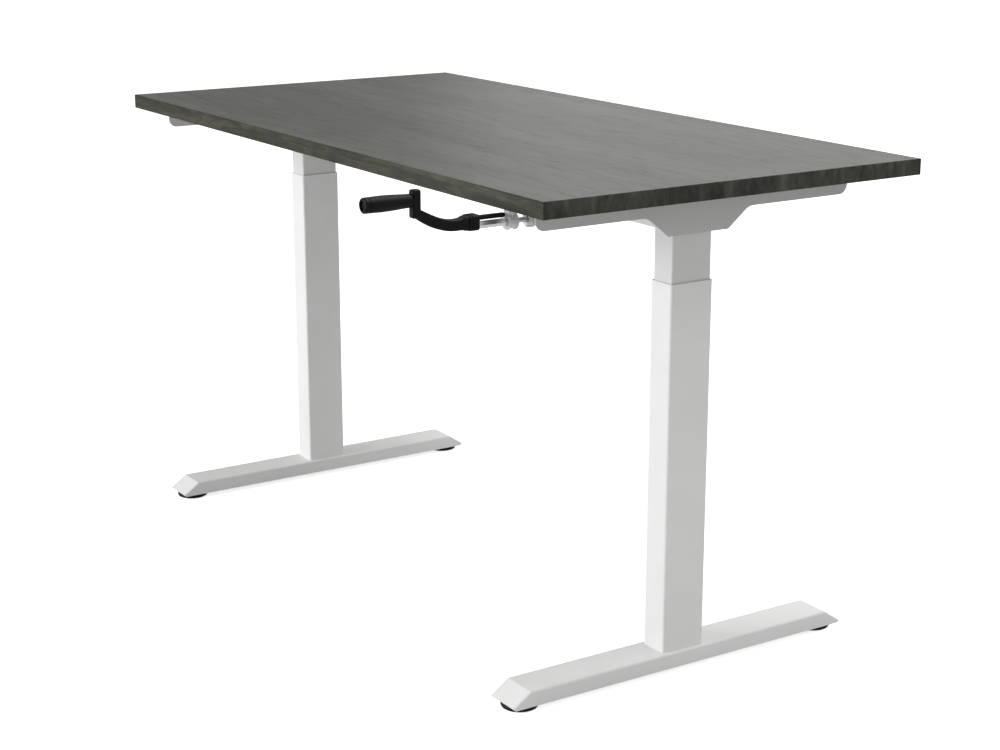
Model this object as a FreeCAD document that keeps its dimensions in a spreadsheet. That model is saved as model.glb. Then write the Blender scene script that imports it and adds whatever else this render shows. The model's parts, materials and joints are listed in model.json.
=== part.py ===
import FreeCAD, Part
import math
import os
import re
import Sketcher

# Height adjustable standing desk with a hand crank. Millimetres, +Z up, +X to the user's right,
# +Y away from the user. The origin is on the floor, in the middle of the whole object's plan.

# ---------------------------------------------------------------- driving dimensions
SIZES = (
    ("top_length", 1400, "desktop, left to right"),
    ("top_depth", 700, "desktop, front to back"),
    ("top_thick", 25, "desktop board"),
    ("top_under", 761, "desktop underside above the floor, as stored"),
    ("desk_y", 111, "middle of the desktop, front to back"),
    ("band_thick", 2, "edge band"),
    ("column_x", 590, "column axis from the middle, each side"),
    ("column_y", 88, "column axis, front to back"),
    ("outer_x", 50, "lower tube, across"),
    ("outer_y", 79, "lower tube, front to back"),
    ("outer_wall", 1.6, "lower tube wall"),
    ("outer_corner", 4, "lower tube corner radius"),
    ("outer_top", 621, "top of the lower tube"),
    ("inner_x", 45, "upper tube, across"),
    ("inner_y", 74, "upper tube, front to back"),
    ("inner_wall", 1.5, "upper tube wall"),
    ("inner_corner", 3, "upper tube corner radius"),
    ("inner_bottom", 112, "bottom of the upper tube"),
    ("slide_gap", 0.3, "running gap between a glide and a tube"),
    ("bushing_height", 45, "glide collar in the lower tube"),
    ("bushing_below", 1, "glide collar below the tube's end"),
    ("glide_height", 40, "glide sleeve on the upper tube"),
    ("foot_length", 644, "foot, tip to tip"),
    ("foot_width", 65, "foot, across"),
    ("foot_height", 25, "foot tube"),
    ("foot_low", 9, "foot tube above the floor"),
    ("foot_slope", 31, "run of the sloping end"),
    ("foot_nose", 4, "height of the blunt tip"),
    ("foot_wall", 2, "foot wall"),
    ("foot_soft", 3.2, "rounding of the foot's upper edges"),
    ("hollow_end", 5, "foot's hollow from its tip"),
    ("pad_reach", 290, "leveller from the column axis"),
    ("pad_radius", 29, "leveller disc"),
    ("pad_slope", 3, "slope round the disc's underside"),
    ("pad_taper", 1, "taper of the disc's rim"),
    ("stud_radius", 4, "leveller stud and column bolt"),
    ("stud_bottom", 3, "leveller stud above the floor"),
    ("stud_length", 23.5, "leveller stud"),
    ("thread_gap", 0.05, "running gap round a stud or screw"),
    ("stud_slack", 0.5, "gap round a stud in the foot"),
    ("bolt_slack", 0.2, "gap round a column bolt in the foot"),
    ("nut_across", 13, "nut and bolt head, across flats"),
    ("nut_height", 6.5, "leveller nut"),
    ("plate_thick", 6, "plate welded into the lower tube"),
    ("plate_gap", 1, "gap round that plate"),
    ("bolt_x", 14, "column bolt from the axis, across"),
    ("bolt_y", 27, "column bolt from the axis, front to back"),
    ("bolt_head", 8, "column bolt head"),
    ("access_radius", 8, "tool hole under a column bolt"),
    ("post_radius", 13, "post that carries the drive nut"),
    ("post_wall", 2, "post wall"),
    ("post_top", 540, "top of the post"),
    ("drive_nut_depth", 22, "drive nut inside the post"),
    ("drive_nut_head", 16, "drive nut above the post"),
    ("drive_nut_flange", 15, "drive nut flange radius"),
    ("drive_nut_rim", 4, "drive nut flange thickness"),
    ("screw_radius", 7, "lead screw"),
    ("screw_lead_in", 1.5, "chamfer at the lead screw's lower end"),
    ("screw_top_gap", 7, "lead screw's upper end below the crank axis"),
    ("screw_bottom", 115, "bottom of the lead screw"),
    ("journal_radius", 6, "lead screw end in its bearing"),
    ("head_x", 34.5, "gear housing, half its width"),
    ("head_y", 37, "gear housing, half its depth"),
    ("head_wall_x", 6, "gear housing side wall"),
    ("head_wall_y", 9, "gear housing front and back wall"),
    ("head_corner", 3, "gear housing's upright edges"),
    ("head_drop", 62, "bottom of the spigot in the upper tube, below the desktop"),
    ("head_screw_inner", 15, "head screw from the axis, towards the middle"),
    ("head_screw_outer", 24, "head screw from the axis, outwards"),
    ("head_screw_rim", 4.8, "head screw, countersunk head radius"),
    ("head_screw_length", 20, "head screw"),
    ("cover_thick", 3, "gear housing cover"),
    ("sheet_thick", 2.5, "bracket sheet"),
    ("axis_drop", 20, "crank and cross shaft axis below the desktop"),
    ("lip_thick", 2, "lip above the screw bearing"),
    ("lip_radius", 11, "hole in that lip"),
    ("bearing_drop", 37, "screw bearing top below the desktop"),
    ("bearing_height", 10, "screw bearing"),
    ("bearing_radius", 16, "screw bearing, outside"),
    ("race_inner", 8.8, "inner ring, outside radius"),
    ("race_outer", 13, "outer ring, inside radius"),
    ("ball_radius", 1.8, "bearing ball"),
    ("ball_circle", 11.1, "bearing ball centres"),
    ("bracket_half", 290, "side bracket, half its length"),
    ("bracket_rim", 32, "side bracket below the desktop"),
    ("bracket_drop", 63, "side bracket at the column"),
    ("bracket_foot", 56, "half of its lowest edge"),
    ("bracket_slope", 95, "half of the width where its slopes start"),
    ("bracket_flange", 62, "its flange under the desktop"),
    ("bracket_corner", 15, "its rounded lower end corners"),
    ("bracket_bend", 24, "rounding where its slopes start"),
    ("bracket_tip", 3, "rounding of its lowest corners"),
    ("beam_half", 22, "crossbar, half its depth"),
    ("beam_drop", 66, "crossbar bottom below the desktop"),
    ("beam_wall", 2, "crossbar wall"),
    ("beam_corner", 1.5, "crossbar's lower edges"),
    ("beam_lip", 36, "crossbar flange, half its width"),
    ("end_plate", 3, "crossbar end plate"),
    ("end_inset", 2, "end plate inside the housing's outline"),
    ("end_hole", 10, "hole in the end plate for the cross shaft"),
    ("bar_screw_y", 28, "crossbar screw from the middle, front to back"),
    ("bar_screw_high", 12, "upper crossbar screw below the desktop"),
    ("bar_screw_low", 40, "lower crossbar screw below the desktop"),
    ("bar_screw_radius", 3, "crossbar screw"),
    ("bar_screw_head", 5, "crossbar screw head radius"),
    ("bar_head_height", 4, "crossbar screw head"),
    ("bush_outside", 9, "bush and its port in the housing, radius"),
    ("bush_rim", 11, "bush flange radius"),
    ("bush_rim_thick", 1.5, "bush flange thickness"),
    ("rod_across", 7, "hex rods, across flats"),
    ("rod_gap", 12, "inner end of a hex rod from the screw's axis"),
    ("sleeve_across", 10, "hex sleeve of the crank, across flats"),
    ("ring_radius", 12, "crank bearing ring"),
    ("ring_waist", 10.4, "groove in the ring"),
    ("ring_one", 11, "first crank bearing behind the front edge"),
    ("ring_one_wide", 16, "its width"),
    ("ring_two", 47, "second crank bearing behind the front edge"),
    ("ring_two_wide", 9, "its width"),
    ("ring_rim", 3, "thickness of the ring's two flanges and of its mounting plate"),
    ("ring_stem", 14, "neck between the ring and its plate, across"),
    ("ring_plate", 48, "mounting plate of the first crank bearing"),
    ("ring_two_plate", 44, "mounting plate of the second, under the bracket's flange"),
    ("ring_screw_inset", 6, "bearing screw from the end of its plate"),
    ("ring_screw_radius", 1.75, "bearing screw"),
    ("ring_screw_face", 3, "bearing screw head, lower radius"),
    ("ring_screw_rim", 3.6, "bearing screw head, upper radius"),
    ("ring_screw_head", 2, "bearing screw head"),
    ("hub_front", 54, "crank collar front, ahead of the front edge"),
    ("hub_back", 38, "crank collar back, ahead of the front edge"),
    ("hub_wide", 23, "crank collar, across"),
    ("hub_low", 6, "crank collar below the crank axis"),
    ("hub_high", 16.5, "crank collar above the crank axis"),
    ("hub_soft", 5, "rounding of the collar"),
    ("sleeve_inset", 2, "sleeve's ends inside the collar and behind the first bearing"),
    ("rod_inset", 6, "rod's front end inside the collar"),
    ("tongue_low", 7.5, "locking tongue above the crank axis"),
    ("tongue_high", 6, "locking tongue, in height"),
    ("tongue_wide", 9, "locking tongue, across"),
    ("tongue_inset", 8, "tongue inside the collar"),
    ("tongue_gap", 1.5, "tongue's end in front of the first crank bearing"),
    ("arm_wide", 19, "crank arm at the collar, across"),
    ("arm_low", 5.3, "crank arm below the crank axis"),
    ("arm_high", 13.6, "crank arm above the crank axis"),
    ("arm_top_bend", 68, "start of the arm's upper bend, ahead of the front edge"),
    ("arm_top_rise", 19.4, "rise of the arm's upper side to the boss"),
    ("arm_low_bend", 80, "start of the arm's lower bend"),
    ("arm_low_end", 114, "end of the arm's lower bend"),
    ("arm_low_rise", 9.3, "rise over the lower bend"),
    ("arm_low_slope", 0.594, "slope of the arm's lower side after the bend"),
    ("arm_soft", 2, "rounding of the arm's edges"),
    ("boss_wide", 12, "crank end boss, across"),
    ("boss_back", 129, "crank end boss, back face"),
    ("boss_front", 142.5, "crank end boss, front face"),
    ("boss_above", 15, "crank end boss above the grip axis"),
    ("boss_soft", 4, "rounding of the boss's corners"),
    ("crank_radius", 44.6, "grip axis from the crank axis"),
    ("grip_gap", 0.4, "running gap between the grip and the boss"),
    ("grip_length", 74, "grip"),
    ("grip_radius", 11.5, "grip at its thickest"),
    ("grip_start_radius", 9.4, "grip next to the boss"),
    ("grip_waist", 10.4, "grip where its barrel starts"),
    ("grip_waist_at", 20, "that place, from the boss"),
    ("grip_cap_drop", 0.6, "grip's taper before its free end"),
    ("grip_end_soft", 3, "rounding of the grip's free end"),
    ("grip_recess", 8, "recess in the grip's free end, radius"),
    ("grip_recess_deep", 2, "depth of that recess"),
    ("pin_radius", 4, "pin inside the grip"),
    ("pin_inset", 5, "pin's inner end from the boss's back face"),
    ("pin_end", 3, "pin's outer end inside the grip"),
    ("small_screw", 2.5, "M5 screw and wood screw radius"),
    ("wood_length", 18, "wood screw in the board"),
    ("pan_head", 2.2, "pan head and countersunk head height"),
    ("pan_face", 3.6, "pan head, lower radius"),
    ("pan_rim", 4.5, "pan head, upper radius"),
    ("wood_screw_x", 8, "bracket's wood screws outside the column axis"),
    ("wood_screw_near", 170, "bracket's nearer wood screws from the column axis"),
    ("wood_screw_far", 265, "bracket's further wood screws from the column axis"),
    ("beam_screw_pitch", 300, "distance between the crossbar's wood screws"),
)

TOUCH = 0.01  # two edges or faces this close are the same one
V = FreeCAD.Vector
ROOT_THREE = math.sqrt(3)
SIDES = (("right", 1), ("left", -1))
ENDS = (("front", -1), ("rear", 1))
UPRIGHT = FreeCAD.Rotation()
FLIPPED = FreeCAD.Rotation(V(1, 0, 0), 180)
TURNS = {
    "+Z": UPRIGHT,
    "-Z": FLIPPED,
    "+X": FreeCAD.Rotation(V(0, 1, 0), 90),
    "-X": FreeCAD.Rotation(V(0, 1, 0), -90),
    "+Y": FreeCAD.Rotation(V(1, 0, 0), -90),
    "-Y": FreeCAD.Rotation(V(1, 0, 0), 90),
}

# heights and places that several pieces share, as formulas on the sheet
FRONT = "(desk_y - top_depth/2)"
AXIS = "(top_under - axis_drop)"
HEAD_TOP = "(top_under - sheet_thick - cover_thick)"
BEARING_TOP = "(top_under - bearing_drop)"
TUBE_TOP = "(top_under - bearing_drop - bearing_height)"
FOOT_TOP = "(foot_low + foot_height)"
GRIP_AXIS = "(top_under - axis_drop + crank_radius)"

doc = FreeCAD.newDocument("standing_desk")
sheet = doc.addObject("Spreadsheet::Sheet", "Sizes")
sub_parts = []


def fill_sheet():
    for row, (alias, size, meaning) in enumerate(SIZES, start=1):
        sheet.set(f"A{row}", meaning)
        sheet.set(f"B{row}", str(size))
        sheet.setAlias(f"B{row}", alias)
    doc.recompute()


# ---------------------------------------------------------------- helpers
def link(text):
    """A formula on the sheet's names, as FreeCAD reads it."""
    return re.sub(r"[a-z][a-z_]*", lambda word: "Sizes." + word.group(), str(text))


def number(text):
    return float(sheet.evalExpression(link(text)))


def bind(thing, name, text):
    thing.setExpression(name, link(text))


def place(thing, x, y, z, turn=UPRIGHT):
    thing.Placement = FreeCAD.Placement(V(number(x), number(y), number(z)), turn)
    bind(thing, "Placement.Base.x", x)
    bind(thing, "Placement.Base.y", y)
    bind(thing, "Placement.Base.z", z)
    return thing


def keep(label, thing):
    """Mark an object as a finished sub-part; its label names its file."""
    thing.Label = label
    sub_parts.append(thing)
    return thing


def block(name, middle, low, size):
    """A box centred on middle (x, y), standing on the height low."""
    box = doc.addObject("Part::Box", name)
    for prop, length in zip(("Length", "Width", "Height"), size):
        bind(box, prop, length)
    return place(box, f"{middle[0]} - ({size[0]})/2", f"{middle[1]} - ({size[1]})/2", low)


def rod(name, start, radius, length, way="+Z"):
    cylinder = doc.addObject("Part::Cylinder", name)
    bind(cylinder, "Radius", radius)
    bind(cylinder, "Height", length)
    return place(cylinder, *start, TURNS[way])


def hex_rod(name, start, across, length, way="+Z"):
    prism = doc.addObject("Part::Prism", name)
    prism.Polygon = 6
    bind(prism, "Circumradius", f"({across})/{ROOT_THREE}")
    bind(prism, "Height", length)
    return place(prism, *start, TURNS[way])


def cone(name, start, radius, end_radius, length, way="+Z"):
    frustum = doc.addObject("Part::Cone", name)
    bind(frustum, "Radius1", radius)
    bind(frustum, "Radius2", end_radius)
    bind(frustum, "Height", length)
    return place(frustum, *start, TURNS[way])


def fuse(name, *pieces):
    joined = doc.addObject("Part::MultiFuse", name)
    joined.Shapes = list(pieces)
    joined.Refine = True
    return joined


def cut(name, base, *tools):
    """base less its tools."""
    result = doc.addObject("Part::Cut", name)
    result.Base = base
    result.Tool = tools[0] if len(tools) == 1 else fuse(name + "_tools", *tools)
    return result


def group(name, pieces):
    """Identical pieces kept apart as separate solids of one sub-part."""
    compound = doc.addObject("Part::Compound", name)
    compound.Links = list(pieces)
    return compound


def new_body(name, x, y, z, turn=UPRIGHT):
    return place(doc.addObject("PartDesign::Body", name), x, y, z, turn)


def sketch_on(body, role, name, height="0"):
    """A sketch on one of the body's own origin planes, lifted by height along its normal."""
    sketch = body.newObject("Sketcher::SketchObject", f"{body.Name}_{name}")
    plane = next(item for item in body.Origin.OriginFeatures if item.Role == role)
    sketch.AttachmentSupport = [(plane, "")]
    sketch.MapMode = "FlatFace"
    bind(sketch, "AttachmentOffset.Base.z", height)
    return sketch


def pin_point(sketch, line, where, point):
    """Hold one end of a line at a pair of formulas."""
    for kind, text in zip(("DistanceX", "DistanceY"), point):
        index = sketch.addConstraint(Sketcher.Constraint(kind, -1, 1, line, where, number(text)))
        bind(sketch, f"Constraints[{index}]", text)


def outline(sketch, points):
    """A closed outline whose corners are pairs of formulas."""
    first = sketch.GeometryCount
    spots = [V(number(x), number(y), 0) for x, y in points]
    count = len(spots)
    for i in range(count):
        sketch.addGeometry(Part.LineSegment(spots[i], spots[(i + 1) % count]))
    for i in range(count):
        before = first + (i - 1) % count
        sketch.addConstraint(Sketcher.Constraint("Coincident", before, 2, first + i, 1))
        pin_point(sketch, first + i, 1, points[i])


def curved_outline(sketch, points, bends):
    """A closed outline; the side leaving corner i is an arc level at its end bends[i], 1 or 2."""
    spots = [V(number(x), number(y), 0) for x, y in points]
    count = len(spots)
    ends = []
    for i in range(count):
        start, end = spots[i], spots[(i + 1) % count]
        if i not in bends:
            sketch.addGeometry(Part.LineSegment(start, end))
            ends.append((1, 2))
            continue
        level, raised = (start, end) if bends[i] == 1 else (end, start)
        run, rise = raised.x - level.x, raised.y - level.y
        radius = (run * run + rise * rise) / (2 * rise)
        half_turn = math.atan2(run, radius - rise) / 2
        middle = level + V(radius * math.sin(half_turn), radius * (1 - math.cos(half_turn)), 0)
        clockwise = (middle - start).cross(end - middle).z < 0
        first, last = (end, start) if clockwise else (start, end)
        sketch.addGeometry(Part.Arc(first, middle, last))
        ends.append((2, 1) if clockwise else (1, 2))
    for i in range(count):
        before = (i - 1) % count
        sketch.addConstraint(
            Sketcher.Constraint("Coincident", before, ends[before][1], i, ends[i][0])
        )
        pin_point(sketch, i, ends[i][0], points[i])
    for i in bends:
        sketch.addConstraint(Sketcher.Constraint("Radius", i, sketch.Geometry[i].Radius))


def rectangle(sketch, width, depth):
    half_w, half_d = f"({width})/2", f"({depth})/2"
    outline(
        sketch,
        (
            (f"-{half_w}", f"-{half_d}"),
            (half_w, f"-{half_d}"),
            (half_w, half_d),
            (f"-{half_w}", half_d),
        ),
    )


def circle(sketch, point, radius):
    index = sketch.GeometryCount
    centre = V(number(point[0]), number(point[1]), 0)
    sketch.addGeometry(Part.Circle(centre, V(0, 0, 1), number(radius)))
    pin_point(sketch, index, 3, point)
    size = sketch.addConstraint(Sketcher.Constraint("Radius", index, number(radius)))
    bind(sketch, f"Constraints[{size}]", radius)


def extrude(body, kind, sketch, length, side="One side", reverse=False):
    """A Pad or a Pocket, checked to add or remove material."""
    doc.recompute()
    before = body.Shape.Volume if body.Tip else 0
    feature = body.newObject(f"PartDesign::{kind}", f"{sketch.Name}_{kind}")
    feature.Profile = sketch
    bind(feature, "Length", length)
    feature.SideType = side
    feature.Reversed = reverse
    doc.recompute()
    change = body.Shape.Volume - before
    if (change > 0) != (kind == "Pad") or abs(change) < TOUCH:
        raise RuntimeError(f"{feature.Name} changed the volume by {change}")
    return feature


def spin(body, sketch):
    """Revolve a sketch drawn on the XZ plane about the body's Z axis."""
    feature = body.newObject("PartDesign::Revolution", sketch.Name + "_turned")
    feature.Profile = sketch
    feature.ReferenceAxis = (sketch, ["V_Axis"])
    feature.Angle = 360
    doc.recompute()
    return feature


def round_edges(body, radius, wanted):
    """Fillet the edges of the body's tip for which wanted(edge) is true."""
    doc.recompute()
    base = body.Tip
    names = [f"Edge{i}" for i, edge in enumerate(base.Shape.Edges, start=1) if wanted(edge)]
    fillet = body.newObject("PartDesign::Fillet", f"{base.Name}_soft")
    fillet.Base = (base, names)
    bind(fillet, "Radius", radius)
    doc.recompute()
    return fillet


def runs_along(edge, axis):
    way = edge.tangentAt(edge.FirstParameter)
    return abs(way.dot(axis)) > 0.999


# ---------------------------------------------------------------- feet and levellers
def foot(side, sign):
    """Closed steel tube foot with sloping ends, tool holes below and bolt holes above."""
    body = new_body(f"{side}_foot", f"{sign}*column_x", "column_y", "foot_low")
    profile = sketch_on(body, "YZ_Plane", "outside")
    tip = "foot_length/2"
    outline(
        profile,
        (
            (f"-{tip} + foot_nose", "0"),
            (f"{tip} - foot_nose", "0"),
            (tip, "foot_nose"),
            (f"{tip} - foot_slope", "foot_height"),
            (f"-{tip} + foot_slope", "foot_height"),
            (f"-{tip}", "foot_nose"),
        ),
    )
    extrude(body, "Pad", profile, "foot_width", "Symmetric")
    nose = number("foot_nose")
    round_edges(body, "foot_soft", lambda edge: edge.CenterOfMass.z > nose + TOUCH)

    hollow = sketch_on(body, "YZ_Plane", "inside")
    low_end = f"({tip} - hollow_end)"
    high_end = f"({tip} - foot_slope - foot_nose)"
    outline(
        hollow,
        (
            (f"-{low_end}", "foot_wall"),
            (low_end, "foot_wall"),
            (high_end, "foot_height - foot_wall"),
            (f"-{high_end}", "foot_height - foot_wall"),
        ),
    )
    extrude(body, "Pocket", hollow, "foot_width - 2*foot_wall", "Symmetric")

    below = sketch_on(body, "XY_Plane", "below")
    for end in (-1, 1):
        circle(below, ("0", f"{end}*pad_reach"), "stud_radius + stud_slack")
        for across in (-1, 1):
            circle(below, (f"{across}*bolt_x", f"{end}*bolt_y"), "access_radius")
    extrude(body, "Pocket", below, "foot_wall", reverse=True)

    above = sketch_on(body, "XY_Plane", "above", "foot_height")
    for end in (-1, 1):
        for across in (-1, 1):
            circle(above, (f"{across}*bolt_x", f"{end}*bolt_y"), "stud_radius + bolt_slack")
    extrude(body, "Pocket", above, "foot_wall")
    keep(f"{side}_foot", body)


def leveller_disc(name, x, y):
    """Moulded disc that stands on the floor, with a blind hole for its stud."""
    body = new_body(f"{name}_disc", x, y, "0")
    half = sketch_on(body, "XZ_Plane", "half")
    outline(
        half,
        (
            ("0", "0"),
            ("pad_radius - pad_slope", "0"),
            ("pad_radius", "stud_bottom"),
            ("pad_radius - pad_taper", "foot_low"),
            ("stud_radius", "foot_low"),
            ("stud_radius", "stud_bottom"),
            ("0", "stud_bottom"),
        ),
    )
    spin(body, half)
    keep(f"{name}_disc", body)


def levellers():
    nuts = []
    for side, sign in SIDES:
        for end, away in ENDS:
            name = f"{end}_{side}_leveller"
            x = f"{sign}*column_x"
            y = f"column_y + {away}*pad_reach"
            leveller_disc(name, x, y)
            stud = rod(f"{name}_stud", (x, y, "stud_bottom"), "stud_radius", "stud_length")
            keep(f"{name}_stud", stud)
            low = "foot_low + foot_wall"
            blank = hex_rod(f"{name}_nut_blank", (x, y, low), "nut_across", "nut_height")
            bore = rod(f"{name}_nut_bore", (x, y, low), "stud_radius + thread_gap", "nut_height")
            nuts.append(cut(f"{name}_nut", blank, bore))
    keep("leveller_nuts", group("leveller_nuts", nuts))


# ---------------------------------------------------------------- columns
def rounded_tube(name, x, y, low, width, depth, wall, length, outer_corner, inner_corner):
    """Rectangular tube with rounded corners inside and out."""
    body = new_body(name, x, y, low)
    section = sketch_on(body, "XY_Plane", "section")
    rectangle(section, width, depth)
    rectangle(section, f"{width} - 2*({wall})", f"{depth} - 2*({wall})")
    extrude(body, "Pad", section, length)
    upright = V(0, 0, 1)
    rim = number(f"({width})/2")

    def outer(edge):
        return runs_along(edge, upright) and abs(edge.CenterOfMass.x) > rim - TOUCH

    def inner(edge):
        return runs_along(edge, upright) and abs(edge.CenterOfMass.x) < rim - TOUCH

    round_edges(body, inner_corner, inner)
    round_edges(body, outer_corner, outer)
    return body


def column_tubes(side, sign):
    x = f"{sign}*column_x"
    lower = rounded_tube(
        f"{side}_column_tube", x, "column_y", FOOT_TOP,
        "outer_x", "outer_y", "outer_wall", f"outer_top - {FOOT_TOP}",
        "outer_corner", "outer_corner - outer_wall",
    )
    keep(f"{side}_column_tube", lower)
    upper = rounded_tube(
        f"{side}_inner_tube", x, "column_y", "inner_bottom",
        "inner_x", "inner_y", "inner_wall", f"{TUBE_TOP} - inner_bottom",
        "inner_corner", "inner_corner - inner_wall",
    )
    keep(f"{side}_inner_tube", upper)


def column_glides():
    """A collar fixed in each lower tube and a sleeve fixed on each upper tube."""
    collars = []
    sleeves = []
    for side, sign in SIDES:
        x = f"{sign}*column_x"
        collars.append(
            rounded_tube(
                f"{side}_collar", x, "column_y", "outer_top - bushing_below - bushing_height",
                "outer_x - 2*outer_wall", "outer_y - 2*outer_wall",
                "(outer_x - inner_x)/2 - outer_wall - slide_gap", "bushing_height",
                "outer_corner - outer_wall", "inner_corner",
            )
        )
        sleeves.append(
            rounded_tube(
                f"{side}_sleeve", x, "column_y", "inner_bottom",
                "outer_x - 2*outer_wall - 2*slide_gap", "outer_y - 2*outer_wall - 2*slide_gap",
                "(outer_x - inner_x)/2 - outer_wall - slide_gap", "glide_height",
                "inner_corner", "inner_corner",
            )
        )
    keep("column_glide_collars", group("column_glide_collars", collars))
    keep("inner_tube_glides", group("inner_tube_glides", sleeves))


def column_bolts():
    """Bolts that hold each column on its foot, threaded into the plate in the tube."""
    bolts = []
    low = f"{FOOT_TOP} - foot_wall - bolt_head"
    for side, sign in SIDES:
        for across in (-1, 1):
            for away in (-1, 1):
                name = f"{side}_bolt_{across + 1}{away + 1}"
                x = f"{sign}*column_x + {across}*bolt_x"
                y = f"column_y + {away}*bolt_y"
                head = hex_rod(name + "_head", (x, y, low), "nut_across", "bolt_head")
                shank = rod(
                    name + "_shank", (x, y, f"{low} + bolt_head"),
                    "stud_radius", "foot_wall + plate_thick",
                )
                bolts.append(fuse(name, head, shank))
    return keep("column_bolts", group("column_bolts", bolts))


def nut_columns(bolts):
    """Inside each lower tube: a welded plate, a post and the drive nut on top of it."""
    plates = []
    posts = []
    nuts = []
    post_low = f"{FOOT_TOP} + plate_thick"
    for side, sign in SIDES:
        x = f"{sign}*column_x"
        plate = block(
            f"{side}_plate", (x, "column_y"), FOOT_TOP,
            (
                "outer_x - 2*outer_wall - 2*plate_gap",
                "outer_y - 2*outer_wall - 2*plate_gap",
                "plate_thick",
            ),
        )
        plates.append(cut(f"{side}_plate_drilled", plate, bolts))
        length = f"post_top - ({post_low})"
        tube = rod(f"{side}_post_tube", (x, "column_y", post_low), "post_radius", length)
        bore = rod(
            f"{side}_post_bore", (x, "column_y", post_low), "post_radius - post_wall", length
        )
        posts.append(cut(f"{side}_post", tube, bore))
        nuts.append(drive_nut(f"{side}_drive_nut", x))
    keep("column_base_plates", group("column_base_plates", plates))
    keep("nut_posts", group("nut_posts", posts))
    keep("drive_nuts", group("drive_nuts", nuts))


def drive_nut(name, x):
    body = new_body(name, x, "column_y", "post_top")
    half = sketch_on(body, "XZ_Plane", "half")
    bore = "screw_radius + thread_gap"
    outline(
        half,
        (
            (bore, "-drive_nut_depth"),
            ("post_radius - post_wall", "-drive_nut_depth"),
            ("post_radius - post_wall", "0"),
            ("drive_nut_flange", "0"),
            ("drive_nut_flange", "drive_nut_rim"),
            ("post_radius - post_wall", "drive_nut_rim"),
            ("post_radius - post_wall", "drive_nut_head"),
            (bore, "drive_nut_head"),
        ),
    )
    spin(body, half)
    return body


# ---------------------------------------------------------------- desktop
def desktop(wood_screws):
    """Board with its four edge bands; the wood screws leave their own holes in it."""
    board = block(
        "board_blank", ("0", "desk_y"), "top_under",
        ("top_length - 2*band_thick", "top_depth - 2*band_thick", "top_thick"),
    )
    keep("desktop_board", cut("desktop_board", board, wood_screws))
    for end, away in ENDS:
        band = block(
            f"{end}_edge_band", ("0", f"desk_y + {away}*(top_depth - band_thick)/2"), "top_under",
            ("top_length", "band_thick", "top_thick"),
        )
        keep(f"{end}_edge_band", band)
    side_bands = [
        block(
            f"{side}_edge_band", (f"{sign}*(top_length - band_thick)/2", "desk_y"), "top_under",
            ("band_thick", "top_depth - 2*band_thick", "top_thick"),
        )
        for side, sign in SIDES
    ]
    keep("side_edge_bands", group("side_edge_bands", side_bands))


def wood_screw(name, x, y, head_low):
    """Pan head below the sheet, shank up through it into the board."""
    head = cone(name + "_head", (x, y, head_low), "pan_face", "pan_rim", "pan_head")
    shank_low = f"{head_low} + pan_head"
    shank = rod(name + "_shank", (x, y, shank_low), "small_screw", "wood_length")
    return fuse(name, head, shank)


def desktop_screws():
    screws = []
    head = "top_under - sheet_thick - pan_head"
    for side, sign in SIDES:
        x = f"{sign}*(column_x + wood_screw_x)"
        for end, away in ENDS:
            for reach in ("wood_screw_near", "wood_screw_far"):
                y = f"column_y + {away}*{reach}"
                screws.append(wood_screw(f"{side}_{end}_{reach}", x, y, head))
    beam_head = "top_under - beam_wall - pan_head"
    for step in (-3, -1, 1, 3):
        for end, away in ENDS:
            x = f"{step}*beam_screw_pitch/2"
            y = f"column_y + {away}*(beam_lip + beam_half)/2"
            screws.append(wood_screw(f"{end}_beam_screw_{step + 3}", x, y, beam_head))
    return keep("desktop_screws", group("desktop_screws", screws))


# ---------------------------------------------------------------- leg heads
def head_screws():
    """Countersunk screws down through bracket and cover into the gear housings."""
    screws = []
    for side, sign in SIDES:
        for across in ("-head_screw_inner", "+head_screw_outer"):
            for end, away in ENDS:
                name = f"{side}_{end}{across[1:]}"
                x = f"{sign}*(column_x {across})"
                y = f"column_y + {away}*(head_y - head_wall_y/2)"
                start = (x, y, "top_under")
                head = cone(
                    name + "_top", start, "head_screw_rim", "small_screw", "pan_head", "-Z"
                )
                shank = rod(name + "_shank", start, "small_screw", "head_screw_length", "-Z")
                screws.append(fuse(name, head, shank))
    return keep("head_screws", group("head_screws", screws))


def crossbar_screws():
    """Screws through the crossbar's end plates into the gear housings."""
    screws = []
    for side, sign in SIDES:
        way = "+X" if sign > 0 else "-X"
        inner_face = f"{sign}*(column_x - head_x - end_plate)"
        head_start = f"{inner_face} - {sign}*bar_head_height"
        for end, away in ENDS:
            for level in ("bar_screw_high", "bar_screw_low"):
                name = f"{side}_{end}_{level}"
                y = f"column_y + {away}*bar_screw_y"
                z = f"top_under - {level}"
                head = rod(
                    name + "_head", (head_start, y, z), "bar_screw_head", "bar_head_height", way
                )
                length = "end_plate + head_wall_x"
                shank = rod(name + "_shank", (inner_face, y, z), "bar_screw_radius", length, way)
                screws.append(fuse(name, head, shank))
    return keep("crossbar_screws", group("crossbar_screws", screws))


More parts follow.
